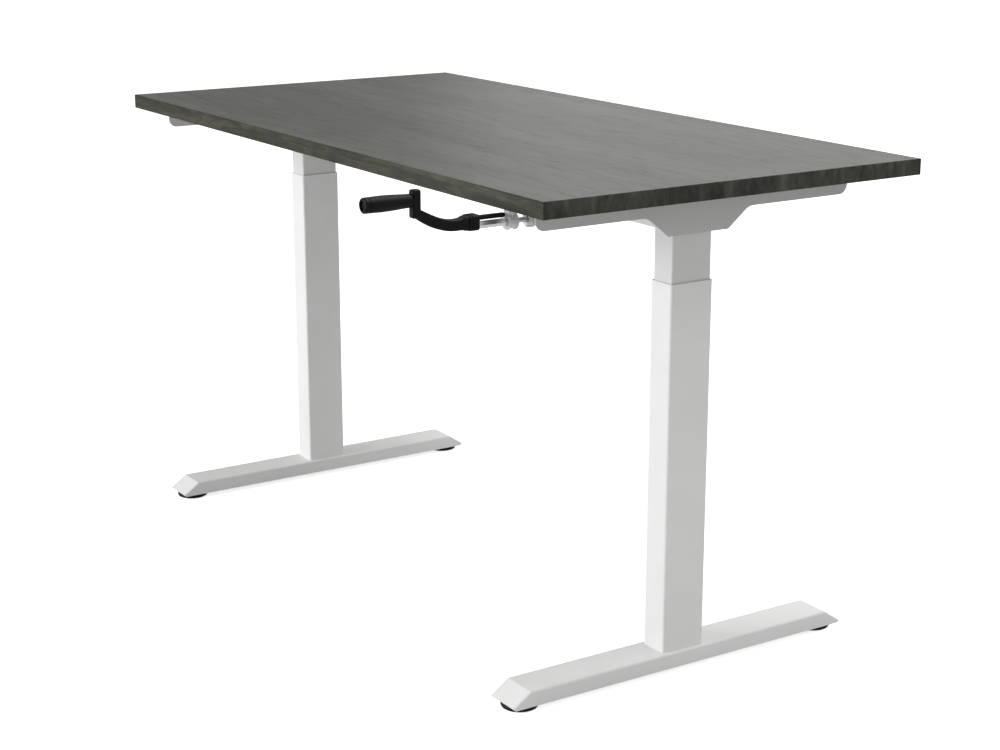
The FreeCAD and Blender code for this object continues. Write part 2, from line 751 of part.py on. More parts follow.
def gear_housing(side, sign, screws, bar_screws):
    """Cast head of a leg: gear room above, bearing seat below it, spigot in the upper tube."""
    body = new_body(f"{side}_housing_body", f"{sign}*column_x", "column_y", "0")
    shape = sketch_on(body, "XY_Plane", "block", TUBE_TOP)
    rectangle(shape, "2*head_x", "2*head_y")
    extrude(body, "Pad", shape, f"{HEAD_TOP} - {TUBE_TOP}")
    spigot = sketch_on(body, "XY_Plane", "spigot", "top_under - head_drop")
    rectangle(spigot, "inner_x - 2*inner_wall", "inner_y - 2*inner_wall")
    extrude(body, "Pad", spigot, f"{TUBE_TOP} - top_under + head_drop")
    upright = V(0, 0, 1)
    round_edges(body, "head_corner", lambda edge: runs_along(edge, upright))
    room = sketch_on(body, "XY_Plane", "room", HEAD_TOP)
    rectangle(room, "2*(head_x - head_wall_x)", "2*(head_y - head_wall_y)")
    extrude(body, "Pocket", room, f"{HEAD_TOP} - {BEARING_TOP} - lip_thick")
    lip = sketch_on(body, "XY_Plane", "lip", f"{BEARING_TOP} + lip_thick")
    circle(lip, ("0", "0"), "lip_radius")
    extrude(body, "Pocket", lip, "lip_thick + bearing_height")
    seat = sketch_on(body, "XY_Plane", "seat", "top_under - head_drop")
    circle(seat, ("0", "0"), "bearing_radius")
    extrude(body, "Pocket", seat, f"{BEARING_TOP} - top_under + head_drop", reverse=True)
    centre = (f"{sign}*column_x", "column_y", AXIS)
    port_way = "-X" if sign > 0 else "+X"
    ports = [rod(f"{side}_cross_port", centre, "bush_outside", "head_x", port_way)]
    if sign > 0:
        ports.append(rod("crank_port", centre, "bush_outside", "head_y", "-Y"))
    housing = cut(f"{side}_gear_housing", body, *ports, screws, bar_screws)
    keep(f"{side}_gear_housing", housing)


def housing_covers(screws):
    covers = []
    for side, sign in SIDES:
        plate = block(
            f"{side}_cover_plate", (f"{sign}*column_x", "column_y"), HEAD_TOP,
            ("2*head_x", "2*head_y", "cover_thick"),
        )
        covers.append(cut(f"{side}_cover", plate, screws))
    keep("gear_housing_covers", group("gear_housing_covers", covers))


def side_bracket(side, sign, screws, wood_screws):
    """Bent sheet: an upright web outside the leg and a flange under the desktop."""
    body = new_body(f"{side}_bracket_body", "0", "column_y", "top_under")
    web_inside = "column_x + head_x"
    web_start = web_inside if sign > 0 else f"-({web_inside} + sheet_thick)"
    web = sketch_on(body, "YZ_Plane", "web", web_start)
    outline(
        web,
        (
            ("-bracket_half", "0"),
            ("-bracket_half", "-bracket_rim"),
            ("-bracket_slope", "-bracket_rim"),
            ("-bracket_foot", "-bracket_drop"),
            ("bracket_foot", "-bracket_drop"),
            ("bracket_slope", "-bracket_rim"),
            ("bracket_half", "-bracket_rim"),
            ("bracket_half", "0"),
        ),
    )
    extrude(body, "Pad", web, "sheet_thick")
    across = V(1, 0, 0)
    rim = -number("bracket_rim")

    def corner_at(edge, reach):
        spot = edge.CenterOfMass
        return (
            runs_along(edge, across)
            and abs(spot.z - rim) < TOUCH
            and abs(abs(spot.y) - number(reach)) < TOUCH
        )

    round_edges(body, "bracket_corner", lambda edge: corner_at(edge, "bracket_half"))
    round_edges(body, "bracket_bend", lambda edge: corner_at(edge, "bracket_slope"))
    low = -number("bracket_drop")
    round_edges(
        body, "bracket_tip",
        lambda edge: runs_along(edge, across) and abs(edge.CenterOfMass.z - low) < TOUCH,
    )
    flange = sketch_on(body, "XY_Plane", "flange", "-sheet_thick")
    outside = f"{sign}*(column_x + head_x + sheet_thick)"
    inside = f"{sign}*(column_x + head_x + sheet_thick - bracket_flange)"
    outline(
        flange,
        (
            (outside, "-bracket_half"),
            (inside, "-bracket_half"),
            (inside, "bracket_half"),
            (outside, "bracket_half"),
        ),
    )
    extrude(body, "Pad", flange, "sheet_thick")
    keep(f"{side}_side_bracket", cut(f"{side}_side_bracket", body, screws, wood_screws))


def crossbar(wood_screws):
    """Channel between the leg heads, open towards the desktop, with the cross shaft inside."""
    body = new_body("crossbar_body", "0", "column_y", "top_under")
    section = sketch_on(body, "YZ_Plane", "section")
    inner = "(beam_half - beam_wall)"
    outline(
        section,
        (
            ("-beam_lip", "0"),
            ("-beam_lip", "-beam_wall"),
            ("-beam_half", "-beam_wall"),
            ("-beam_half", "-beam_drop"),
            ("beam_half", "-beam_drop"),
            ("beam_half", "-beam_wall"),
            ("beam_lip", "-beam_wall"),
            ("beam_lip", "0"),
            (inner, "0"),
            (inner, "-beam_drop + beam_wall"),
            (f"-{inner}", "-beam_drop + beam_wall"),
            (f"-{inner}", "0"),
        ),
    )
    extrude(body, "Pad", section, "2*(column_x - head_x - end_plate)", "Symmetric")
    along = V(1, 0, 0)
    low = -number("beam_drop")
    round_edges(
        body, "beam_corner",
        lambda edge: runs_along(edge, along) and abs(edge.CenterOfMass.z - low) < TOUCH,
    )
    keep("crossbar", cut("crossbar", body, wood_screws))


def crossbar_end_plates(bar_screws):
    plates = []
    for side, sign in SIDES:
        x = f"{sign}*(column_x - head_x - end_plate/2)"
        plate = block(
            f"{side}_end_plate_blank", (x, "column_y"), TUBE_TOP,
            ("end_plate", "2*(head_y - end_inset)", f"{HEAD_TOP} - {TUBE_TOP}"),
        )
        start = f"{sign}*(column_x - head_x)"
        hole = rod(
            f"{side}_end_plate_hole", (start, "column_y", AXIS), "end_hole", "end_plate",
            "-X" if sign > 0 else "+X",
        )
        plates.append(cut(f"{side}_end_plate", plate, hole, bar_screws))
    keep("crossbar_end_plates", group("crossbar_end_plates", plates))


# ---------------------------------------------------------------- bearings and bushes
def screw_bearings():
    """Ball bearing under each gear room: outer rings, balls, and an inner ring on each screw."""
    outer_rings = []
    balls = []
    ball_count = 8
    for side, sign in SIDES:
        x = f"{sign}*column_x"
        start = (x, "column_y", TUBE_TOP)
        outside = rod(f"{side}_race_blank", start, "bearing_radius", "bearing_height")
        bore = rod(f"{side}_race_bore", start, "race_outer", "bearing_height")
        outer_rings.append(cut(f"{side}_outer_ring", outside, bore))
        ring = rod(f"{side}_inner_blank", start, "race_inner", "bearing_height")
        hole = rod(f"{side}_inner_bore", start, "journal_radius", "bearing_height")
        keep(
            f"{side}_bearing_inner_ring", cut(f"{side}_bearing_inner_ring", ring, hole)
        )
        for i in range(ball_count):
            angle = 2 * math.pi * i / ball_count
            ball = doc.addObject("Part::Sphere", f"{side}_ball_{i}")
            bind(ball, "Radius", "ball_radius")
            place(
                ball, f"{x} + {math.cos(angle):.6f}*ball_circle",
                f"column_y + {math.sin(angle):.6f}*ball_circle",
                f"{TUBE_TOP} + bearing_height/2",
            )
            balls.append(ball)
    keep("bearing_outer_rings", group("bearing_outer_rings", outer_rings))
    keep("bearing_balls", group("bearing_balls", balls))


def flanged_bush(name, x, wall_in, wall_out, way):
    """Bush in a housing wall; its flange is on the gear's side of the wall."""
    body = new_body(name, x, "column_y", AXIS, TURNS[way])
    half = sketch_on(body, "XZ_Plane", "half")
    bore = "screw_radius + thread_gap"
    outline(
        half,
        (
            (bore, f"{wall_in} - bush_rim_thick"),
            ("bush_rim", f"{wall_in} - bush_rim_thick"),
            ("bush_rim", wall_in),
            ("bush_outside", wall_in),
            ("bush_outside", wall_out),
            (bore, wall_out),
        ),
    )
    spin(body, half)
    return body


def bushes():
    crank_bush = flanged_bush(
        "crank_bush", "column_x", "(head_y - head_wall_y)", "head_y", "-Y"
    )
    keep("crank_bush", crank_bush)
    cross_bushes = [
        flanged_bush(
            f"{side}_cross_bush", f"{sign}*column_x", "(head_x - head_wall_x)", "head_x",
            "-X" if sign > 0 else "+X",
        )
        for side, sign in SIDES
    ]
    keep("cross_shaft_bushes", group("cross_shaft_bushes", cross_bushes))


# ---------------------------------------------------------------- bevel gears
MODULE = 1.5
SCREW_TEETH = 20
PINION_TEETH = 12
CONE_LENGTH = MODULE / 2 * math.hypot(SCREW_TEETH, PINION_TEETH)
FACE_WIDTH = 6.5
ADDENDUM = 1.2
DEDENDUM = 1.6
TOOTH_THICKNESS = 1.7
ROOT_OVERLAP = 0.3
GEAR_BACK = 2.4
PINION_BACK = 1.5
PINION_SHOULDER = 3
PINION_PLAY = 1.8
PINION_SLEEVE_OUT = 6
FLANK_SLOPE = math.tan(math.radians(22))


def bevel_teeth(body, teeth, mate_teeth, first_angle):
    """Straight teeth that taper towards the cone's apex, which is the body's origin."""
    cone_angle = math.atan2(teeth, mate_teeth)
    sections = []
    for name, scale in (("large", 1.0), ("small", 1 - FACE_WIDTH / CONE_LENGTH)):
        sketch = body.newObject("Sketcher::SketchObject", f"{body.Name}_{name}_tooth")
        plane = next(item for item in body.Origin.OriginFeatures if item.Role == "XY_Plane")
        sketch.AttachmentSupport = [(plane, "")]
        sketch.MapMode = "FlatFace"
        lean = FreeCAD.Rotation(V(0, 1, 0), math.degrees(cone_angle) + 180)
        turn = FreeCAD.Rotation(V(0, 0, 1), first_angle)
        pitch_point = V(math.sin(cone_angle), 0, math.cos(cone_angle)) * CONE_LENGTH * scale
        sketch.AttachmentOffset = FreeCAD.Placement(turn.multVec(pitch_point), turn * lean)
        root = DEDENDUM + ROOT_OVERLAP
        half_root = TOOTH_THICKNESS / 2 + root * FLANK_SLOPE
        half_tip = TOOTH_THICKNESS / 2 - ADDENDUM * FLANK_SLOPE
        corners = (
            (root, -half_root), (root, half_root), (-ADDENDUM, half_tip), (-ADDENDUM, -half_tip),
        )
        outline(sketch, [(f"{x * scale:.5f}", f"{y * scale:.5f}") for x, y in corners])
        sections.append(sketch)
    tooth = body.newObject("PartDesign::AdditiveLoft", body.Name + "_tooth")
    tooth.Profile = sections[0]
    tooth.Sections = [sections[1]]
    tooth.Ruled = True
    doc.recompute()
    ring = body.newObject("PartDesign::PolarPattern", body.Name + "_teeth")
    ring.Originals = [tooth]
    axis = next(item for item in body.Origin.OriginFeatures if item.Role == "Z_Axis")
    ring.Axis = (axis, [""])
    ring.Angle = 360
    ring.Occurrences = teeth
    body.Tip = ring
    doc.recompute()


def root_cone(teeth, mate_teeth):
    """Radius and distance from the apex of the tooth roots, at the large and small ends."""
    cone_angle = math.atan2(teeth, mate_teeth)
    radius = MODULE * teeth / 2 - DEDENDUM * math.cos(cone_angle)
    reach = MODULE * mate_teeth / 2 + DEDENDUM * math.sin(cone_angle)
    scale = 1 - FACE_WIDTH / CONE_LENGTH
    return (radius, reach), (radius * scale, reach * scale)


def screw_gear(side, sign):
    """Bevel gear on top of a lead screw, its hub resting on the bearing's inner ring."""
    body = new_body(f"{side}_screw_gear", f"{sign}*column_x", "column_y", AXIS, FLIPPED)
    large, small = root_cone(SCREW_TEETH, PINION_TEETH)
    half = sketch_on(body, "XZ_Plane", "half")
    outline(
        half,
        (
            ("journal_radius", f"{small[1]:.4f}"),
            (f"{small[0]:.4f}", f"{small[1]:.4f}"),
            (f"{large[0]:.4f}", f"{large[1]:.4f}"),
            (f"{large[0]:.4f}", f"{large[1] + GEAR_BACK:.4f}"),
            ("race_inner", f"{large[1] + GEAR_BACK:.4f}"),
            ("race_inner", "bearing_drop - axis_drop"),
            ("journal_radius", "bearing_drop - axis_drop"),
        ),
    )
    spin(body, half)
    half_pitch = 180 / SCREW_TEETH
    bevel_teeth(body, SCREW_TEETH, PINION_TEETH, half_pitch)
    keep(f"{side}_screw_gear", body)


def pinion(label, x, wall_in, wall_out, way, shaft):
    """Bevel pinion with a sleeve that runs in the bush and a hexagonal bore for its shaft."""
    body = new_body(label + "_body", x, "column_y", AXIS, TURNS[way])
    large, small = root_cone(PINION_TEETH, SCREW_TEETH)
    half = sketch_on(body, "XZ_Plane", "half")
    outline(
        half,
        (
            ("0", f"{small[1]:.4f}"),
            (f"{small[0]:.4f}", f"{small[1]:.4f}"),
            (f"{large[0]:.4f}", f"{large[1]:.4f}"),
            (f"{large[0]:.4f}", f"{large[1] + PINION_BACK:.4f}"),
            ("bush_outside", f"{large[1] + PINION_SHOULDER:.4f}"),
            ("bush_outside", f"{wall_in} - {PINION_PLAY}"),
            ("screw_radius", f"{wall_in} - {PINION_PLAY}"),
            ("screw_radius", f"{wall_out} + {PINION_SLEEVE_OUT}"),
            ("0", f"{wall_out} + {PINION_SLEEVE_OUT}"),
        ),
    )
    spin(body, half)
    bevel_teeth(body, PINION_TEETH, SCREW_TEETH, 0)
    keep(label, cut(label, body, shaft))


def lead_screw(side, sign):
    """Lead screw; the thread is left plain and its upper journal takes bearing and gear."""
    body = new_body(f"{side}_lead_screw", f"{sign}*column_x", "column_y", "0")
    half = sketch_on(body, "XZ_Plane", "half")
    outline(
        half,
        (
            ("0", "screw_bottom"),
            ("screw_radius - screw_lead_in", "screw_bottom"),
            ("screw_radius", "screw_bottom + screw_lead_in"),
            ("screw_radius", TUBE_TOP),
            ("journal_radius", TUBE_TOP),
            ("journal_radius", f"{AXIS} - screw_top_gap"),
            ("0", f"{AXIS} - screw_top_gap"),
        ),
    )
    spin(body, half)
    keep(f"{side}_lead_screw", body)


def cross_shaft():
    """Hexagonal shaft inside the crossbar that turns both screws together."""
    start = ("-column_x + rod_gap", "column_y", AXIS)
    length = "2*(column_x - rod_gap)"
    shaft = keep("cross_shaft", hex_rod("cross_shaft", start, "rod_across", length, "+X"))
    for side, sign in SIDES:
        pinion(
            f"{side}_cross_pinion", f"{sign}*column_x", "(head_x - head_wall_x)", "head_x",
            "-X" if sign > 0 else "+X", shaft,
        )


# ---------------------------------------------------------------- crank
def crank_bearing(label, distance, wide, bore, plate_wide, plate_top):
    """Plate under the desktop or the bracket with a grooved ring hanging from it."""
    x = "column_x"
    y = f"{FRONT} + {distance} + ({wide})/2"
    plate_low = f"({plate_top} - ring_rim)"
    plate = block(label + "_plate", (x, y), plate_low, (plate_wide, wide, "ring_rim"))
    stem = block(label + "_stem", (x, y), AXIS, ("ring_stem", wide, f"{plate_low} - {AXIS}"))
    start = (x, f"{FRONT} + {distance}", AXIS)
    ring = rod(label + "_ring", start, "ring_waist", wide, "+Y")
    flanges = [
        rod(
            f"{label}_flange_{i}",
            (x, f"{FRONT} + {distance} + {i}*({wide} - ring_rim)", AXIS),
            "ring_radius", "ring_rim", "+Y",
        )
        for i in (0, 1)
    ]
    solid = fuse(label + "_solid", plate, stem, ring, *flanges)
    hole = rod(label + "_hole", start, bore, wide, "+Y")
    screws = []
    for side, sign in SIDES:
        screw_x = f"column_x + {sign}*({plate_wide}/2 - ring_screw_inset)"
        name = f"{label}_{side}_screw"
        head = cone(
            name + "_head", (screw_x, y, f"{plate_low} - ring_screw_head"),
            "ring_screw_face", "ring_screw_rim", "ring_screw_head",
        )
        start = (screw_x, y, plate_low)
        shank = rod(name + "_shank", start, "ring_screw_radius", "wood_length")
        screws.append(fuse(name, head, shank))
    holes = fuse(label + "_screw_holes", *screws)
    keep(label, cut(label, solid, hole, holes))
    return screws


def crank_bearings():
    corner = f"/{ROOT_THREE} + thread_gap"
    first = crank_bearing(
        "front_crank_bearing", "ring_one", "ring_one_wide", "sleeve_across" + corner,
        "ring_plate", "top_under",
    )
    second = crank_bearing(
        "rear_crank_bearing", "ring_two", "ring_two_wide", "rod_across" + corner,
        "ring_two_plate", "(top_under - sheet_thick)",
    )
    return keep("crank_bearing_screws", group("crank_bearing_screws", first + second))


def crank_shaft():
    """Thin hex rod to the gears inside a wider hex sleeve that carries the crank."""
    rod_start = f"({FRONT} - hub_front + rod_inset)"
    rod_piece = hex_rod(
        "crank_rod", ("column_x", rod_start, AXIS), "rod_across",
        f"column_y - rod_gap - {rod_start}", "+Y",
    )
    keep("crank_rod", rod_piece)
    sleeve_start = ("column_x", f"{FRONT} - hub_front + sleeve_inset", AXIS)
    sleeve_length = "hub_front + ring_one + ring_one_wide"
    sleeve = hex_rod("crank_sleeve_blank", sleeve_start, "sleeve_across", sleeve_length, "+Y")
    keep("crank_sleeve", cut("crank_sleeve", sleeve, rod_piece))
    pinion(
        "crank_pinion", "column_x", "(head_y - head_wall_y)", "head_y", "-Y", rod_piece
    )
    return rod_piece, sleeve


def crank_arm():
    """Moulded arm, wide at the collar; it bends up and narrows to the boss of the grip."""
    body = new_body("crank_arm_body", "column_x", "0", AXIS)
    side_view = sketch_on(body, "YZ_Plane", "side")
    collar = f"({FRONT} - hub_front)"
    back = f"({FRONT} - boss_back)"
    front = f"({FRONT} - boss_front)"
    top = "(crank_radius + boss_above)"
    bend_end = "(arm_low_rise - arm_low)"
    corners = (
        (collar, "-arm_low"),
        (collar, "arm_high"),
        (f"{FRONT} - arm_top_bend", "arm_high"),
        (back, "arm_high + arm_top_rise"),
        (back, top),
        (front, top),
        (front, f"{bend_end} + arm_low_slope*(boss_front - arm_low_end)"),
        (f"{FRONT} - arm_low_end", bend_end),
        (f"{FRONT} - arm_low_bend", "-arm_low"),
    )
    curved_outline(side_view, corners, {2: 1, 7: 2})
    extrude(body, "Pad", side_view, "arm_wide", "Symmetric")
    taper = sketch_on(body, "XY_Plane", "taper")
    for sign in (-1, 1):
        outline(
            taper,
            (
                (f"{sign}*arm_wide/2", collar),
                (f"{sign}*arm_wide", collar),
                (f"{sign}*arm_wide", front),
                (f"{sign}*boss_wide/2", front),
            ),
        )
    extrude(body, "Pocket", taper, f"4*{top}", "Symmetric")
    across = V(1, 0, 0)
    boss = number(back)
    round_edges(
        body, "boss_soft",
        lambda edge: runs_along(edge, across) and edge.CenterOfMass.y < boss + TOUCH,
    )
    flank = number("boss_wide/2")
    round_edges(body, "arm_soft", lambda edge: abs(edge.CenterOfMass.x) > flank - TOUCH)
    return body


def crank(rod_piece, sleeve):
    """Collar, locking tongue, arm and the pin of the grip."""
    hub = new_body("crank_hub_body", "column_x", f"{FRONT} - hub_front", AXIS)
    face = sketch_on(hub, "XZ_Plane", "face")
    outline(
        face,
        (
            ("-hub_wide/2", "-hub_low"),
            ("hub_wide/2", "-hub_low"),
            ("hub_wide/2", "hub_high"),
            ("-hub_wide/2", "hub_high"),
        ),
    )
    extrude(hub, "Pad", face, "hub_front - hub_back", reverse=True)
    round_edges(hub, "hub_soft", lambda edge: runs_along(edge, V(0, 1, 0)))

    tongue_start = f"({FRONT} - hub_back - tongue_inset)"
    tongue_round = f"({FRONT} + ring_one - tongue_gap - tongue_wide/2)"
    tongue_length = f"({tongue_round} - {tongue_start})"
    tongue_level = f"{AXIS} + tongue_low"
    bar = block(
        "tongue_bar", ("column_x", f"{tongue_start} + {tongue_length}/2"), tongue_level,
        ("tongue_wide", tongue_length, "tongue_high"),
    )
    tip = rod(
        "tongue_tip", ("column_x", tongue_round, tongue_level), "tongue_wide/2", "tongue_high"
    )
    tongue = keep("crank_tongue", fuse("crank_tongue", bar, tip))
    keep("crank_hub", cut("crank_hub", hub, sleeve, tongue, rod_piece))

    arm = crank_arm()
    pin_start = ("column_x", f"{FRONT} - boss_back - pin_inset", GRIP_AXIS)
    pin_length = "boss_front - boss_back - pin_inset + grip_length - pin_end"
    pin = keep("grip_pin", rod("grip_pin", pin_start, "pin_radius", pin_length, "-Y"))
    keep("crank_arm", cut("crank_arm", arm, pin))


def crank_grip():
    """Turning grip: a barrel that swells towards its free end, which is recessed."""
    body = new_body(
        "crank_grip_body", "column_x", f"{FRONT} - boss_front - grip_gap", GRIP_AXIS, TURNS["-Y"]
    )
    half = sketch_on(body, "XZ_Plane", "half")
    bore = "pin_radius + thread_gap"
    end_radius = "grip_radius - grip_cap_drop"
    outline(
        half,
        (
            (bore, "0"),
            ("grip_start_radius", "0"),
            ("grip_waist", "grip_waist_at"),
            ("grip_radius", "grip_length/2"),
            (end_radius, "grip_length - grip_end_soft"),
            (f"{end_radius} - grip_end_soft/2", "grip_length"),
            ("grip_recess", "grip_length"),
            ("grip_recess", "grip_length - grip_recess_deep"),
            (bore, "grip_length - grip_recess_deep"),
        ),
    )
    spin(body, half)
    keep("crank_grip", body)


# ---------------------------------------------------------------- assembly and files
def build():
    fill_sheet()
    for side, sign in SIDES:
        foot(side, sign)
        column_tubes(side, sign)
    levellers()
    column_glides()
    nut_columns(column_bolts())
    wood_screws = desktop_screws()
    screws = head_screws()
    bar_screws = crossbar_screws()
    bearing_screws = crank_bearings()
    all_wood_screws = fuse("all_wood_screws", wood_screws, bearing_screws)
    desktop(all_wood_screws)
    for side, sign in SIDES:
        gear_housing(side, sign, screws, bar_screws)
        side_bracket(side, sign, screws, all_wood_screws)
        lead_screw(side, sign)
        screw_gear(side, sign)
    housing_covers(screws)
    crossbar(wood_screws)
    crossbar_end_plates(bar_screws)
    screw_bearings()
    bushes()
    cross_shaft()
    rod_piece, sleeve = crank_shaft()
    crank(rod_piece, sleeve)
    crank_grip()


def check():
    doc.recompute()
    for item in doc.Objects:
        if "Invalid" in item.State or "Error" in item.State:
            raise RuntimeError(f"{item.Name} is {item.State}")
    for item in sub_parts:
        if item.Shape.isNull() or not item.Shape.isValid():
            raise RuntimeError(f"{item.Label} has no valid shape")


def write():
    os.makedirs("parts", exist_ok=True)
    for item in sub_parts:
        item.Shape.exportStep(f"parts/{item.Label}.step")


build()
check()
write()
print(f"{len(sub_parts)} sub-parts written")
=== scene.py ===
import json
import math
import bmesh
import bpy
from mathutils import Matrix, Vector


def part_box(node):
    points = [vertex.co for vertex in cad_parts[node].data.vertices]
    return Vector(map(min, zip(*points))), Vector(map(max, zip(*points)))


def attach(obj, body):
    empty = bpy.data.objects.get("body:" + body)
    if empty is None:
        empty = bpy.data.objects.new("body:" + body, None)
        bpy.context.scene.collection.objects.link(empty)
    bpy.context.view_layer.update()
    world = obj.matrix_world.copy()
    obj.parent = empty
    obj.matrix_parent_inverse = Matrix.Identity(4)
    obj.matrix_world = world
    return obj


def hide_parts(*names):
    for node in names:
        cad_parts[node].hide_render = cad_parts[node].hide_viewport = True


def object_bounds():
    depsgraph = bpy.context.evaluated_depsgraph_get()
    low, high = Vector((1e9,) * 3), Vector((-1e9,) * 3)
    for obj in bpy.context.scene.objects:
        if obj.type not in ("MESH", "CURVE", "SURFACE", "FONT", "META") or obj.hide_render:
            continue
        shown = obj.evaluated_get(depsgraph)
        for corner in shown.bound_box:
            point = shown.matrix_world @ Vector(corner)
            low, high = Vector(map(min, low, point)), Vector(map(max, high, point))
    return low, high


# Height adjustable standing desk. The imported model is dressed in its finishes; the crank's mouldings,
# its two bearings, the levelling discs and the edge bands are built again here with soft edges.
# Metres: +X to the user's right, +Y away from the user, +Z up.

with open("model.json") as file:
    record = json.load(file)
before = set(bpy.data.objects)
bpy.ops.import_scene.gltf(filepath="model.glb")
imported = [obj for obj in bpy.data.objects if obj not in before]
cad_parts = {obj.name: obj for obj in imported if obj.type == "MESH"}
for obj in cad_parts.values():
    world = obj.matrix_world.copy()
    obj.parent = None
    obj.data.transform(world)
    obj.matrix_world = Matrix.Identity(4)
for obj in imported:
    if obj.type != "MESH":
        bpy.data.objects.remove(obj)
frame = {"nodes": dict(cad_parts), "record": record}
cad_low, cad_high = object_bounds()

MM = 0.001

# place in metres, angles in degrees, lens and sensor in millimetres
CAMERA_PLACE = (2.8555, -1.7044, 1.2514)
CAMERA_AZIMUTH = 57.07
CAMERA_ELEVATION = 15.16
CAMERA_LENS = 70.58
CAMERA_SENSOR = 36

# surround: its strength as seen, and its strength and tint as a source of light
SKY_SEEN = 1.0
SKY_LIGHT = 0.46
SKY_TINT = (1, 0.995, 0.98, 1)

# floor: half its width in metres, its tone and glow as seen, and the tone that throws light back
FLOOR_REACH = 30
FLOOR_TONE = 0.94
FLOOR_GLOW = 0.75
FLOOR_BOUNCE = 0.62

# crank: the boxes of its parts, the line of its shaft, and the gap and bore radii round its shafts
SLEEVE_LOW, SLEEVE_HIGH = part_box("crank_sleeve")
HUB_LOW, HUB_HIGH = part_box("crank_hub")
ARM_LOW, ARM_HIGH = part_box("crank_arm")
GRIP_LOW, GRIP_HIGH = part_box("crank_grip")
CRANK_X = (SLEEVE_LOW.x + SLEEVE_HIGH.x) / 2
CRANK_Z = (SLEEVE_LOW.z + SLEEVE_HIGH.z) / 2
GRIP_Z = (GRIP_LOW.z + GRIP_HIGH.z) / 2
SHAFT_GAP = 0.1 * MM
ROD_BORE = 4.2 * MM
PIN_BORE = 4.2 * MM

# radius that the edge bands' corners are rolled to
BAND_EDGE = 0.5 * MM


# ---------------------------------------------------------------- camera, light and floor
def link(thing):
    """Put an object into the scene."""
    bpy.context.scene.collection.objects.link(thing)


def make_camera():
    """Viewpoint off the right front corner, a little above the desktop."""
    azimuth, elevation = math.radians(CAMERA_AZIMUTH), math.radians(CAMERA_ELEVATION)
    ahead = Vector(
        (
            -math.sin(azimuth) * math.cos(elevation),
            math.cos(azimuth) * math.cos(elevation),
            -math.sin(elevation),
        )
    )
    data = bpy.data.cameras.new("camera")
    data.sensor_width = CAMERA_SENSOR
    data.lens = CAMERA_LENS
    camera = bpy.data.objects.new("camera", data)
    camera.location = CAMERA_PLACE
    camera.rotation_euler = ahead.to_track_quat("-Z", "Y").to_euler()
    link(camera)
    bpy.context.scene.camera = camera


def area_light(name, place, aim, size, power):
    """Soft rectangular light that the camera itself does not see."""
    data = bpy.data.lights.new(name, "AREA")
    data.shape = "RECTANGLE"
    data.size, data.size_y = size
    data.energy = power
    light = bpy.data.objects.new(name, data)
    light.location = place
    light.rotation_euler = (Vector(aim) - Vector(place)).to_track_quat("-Z", "Y").to_euler()
    light.visible_camera = False
    link(light)


def make_lights():
    """Key from the front, light from above, weak fill from the right, sheen from behind."""
    area_light(
        "key", place=(-1.0, -4.2, 1.5), aim=(0, 0.1, 0.45), size=(3.4, 2.4), power=150
    )
    area_light(
        "overhead", place=(0.6, 1.3, 3.6), aim=(0, 0.1, 0.4), size=(3.2, 2.8), power=80
    )
    area_light(
        "right_fill", place=(5.0, 0.2, 1.2), aim=(-0.1, 0.1, 0.4), size=(3.0, 1.2), power=14
    )
    area_light(
        "back_sheen", place=(-3.3, 4.1, 2.0), aim=(0.0, 0.1, 0.78), size=(3.6, 1.2), power=21
    )


def by_camera_ray(tree, other, seen):
    """Shader that is seen for the camera's own rays and other for all the rest."""
    path = tree.nodes.new("ShaderNodeLightPath")
    mix = tree.nodes.new("ShaderNodeMixShader")
    tree.links.new(path.outputs["Is Camera Ray"], mix.inputs["Fac"])
    tree.links.new(other, mix.inputs[1])
    tree.links.new(seen, mix.inputs[2])
    return mix.outputs["Shader"]


def make_world():
    """Even studio surround: white behind the object, dimmer as a source of light."""
    world = bpy.data.worlds.new("studio")
    world.use_nodes = True
    bpy.context.scene.world = world
    tree = world.node_tree
    tree.nodes.clear()
    seen = tree.nodes.new("ShaderNodeBackground")
    seen.inputs["Color"].default_value = (1, 1, 1, 1)
    seen.inputs["Strength"].default_value = SKY_SEEN
    lit = tree.nodes.new("ShaderNodeBackground")
    lit.inputs["Color"].default_value = SKY_TINT
    lit.inputs["Strength"].default_value = SKY_LIGHT
    output = tree.nodes.new("ShaderNodeOutputWorld")
    surface = by_camera_ray(tree, lit.outputs["Background"], seen.outputs["Background"])
    tree.links.new(surface, output.inputs["Surface"])


def make_floor():
    """Pale floor; it looks white and throws back only a soft part of the light."""
    data = bpy.data.meshes.new("floor")
    corners = [(-1, -1), (1, -1), (1, 1), (-1, 1)]
    data.from_pydata([(x * FLOOR_REACH, y * FLOOR_REACH, 0) for x, y in corners], [], [(0, 1, 2, 3)])
    floor = bpy.data.objects.new("floor", data)
    floor.location.z = cad_low.z
    link(floor)
    pale = Finish("studio_floor")
    pale.set("Base Color", (FLOOR_TONE, FLOOR_TONE, FLOOR_TONE, 1))
    pale.set("Roughness", 0.95)
    pale.set("Specular IOR Level", 0.0)
    pale.set("Emission Color", (1, 1, 1, 1))
    pale.set("Emission Strength", FLOOR_GLOW)
    soft = pale.nodes.new("ShaderNodeBsdfDiffuse")
    soft.inputs["Color"].default_value = (FLOOR_BOUNCE, FLOOR_BOUNCE, FLOOR_BOUNCE, 1)
    surface = by_camera_ray(
        pale.material.node_tree, soft.outputs["BSDF"], pale.shader.outputs["BSDF"]
    )
    pale.links.new(surface, pale.nodes["Material Output"].inputs["Surface"])
    data.materials.append(pale.material)


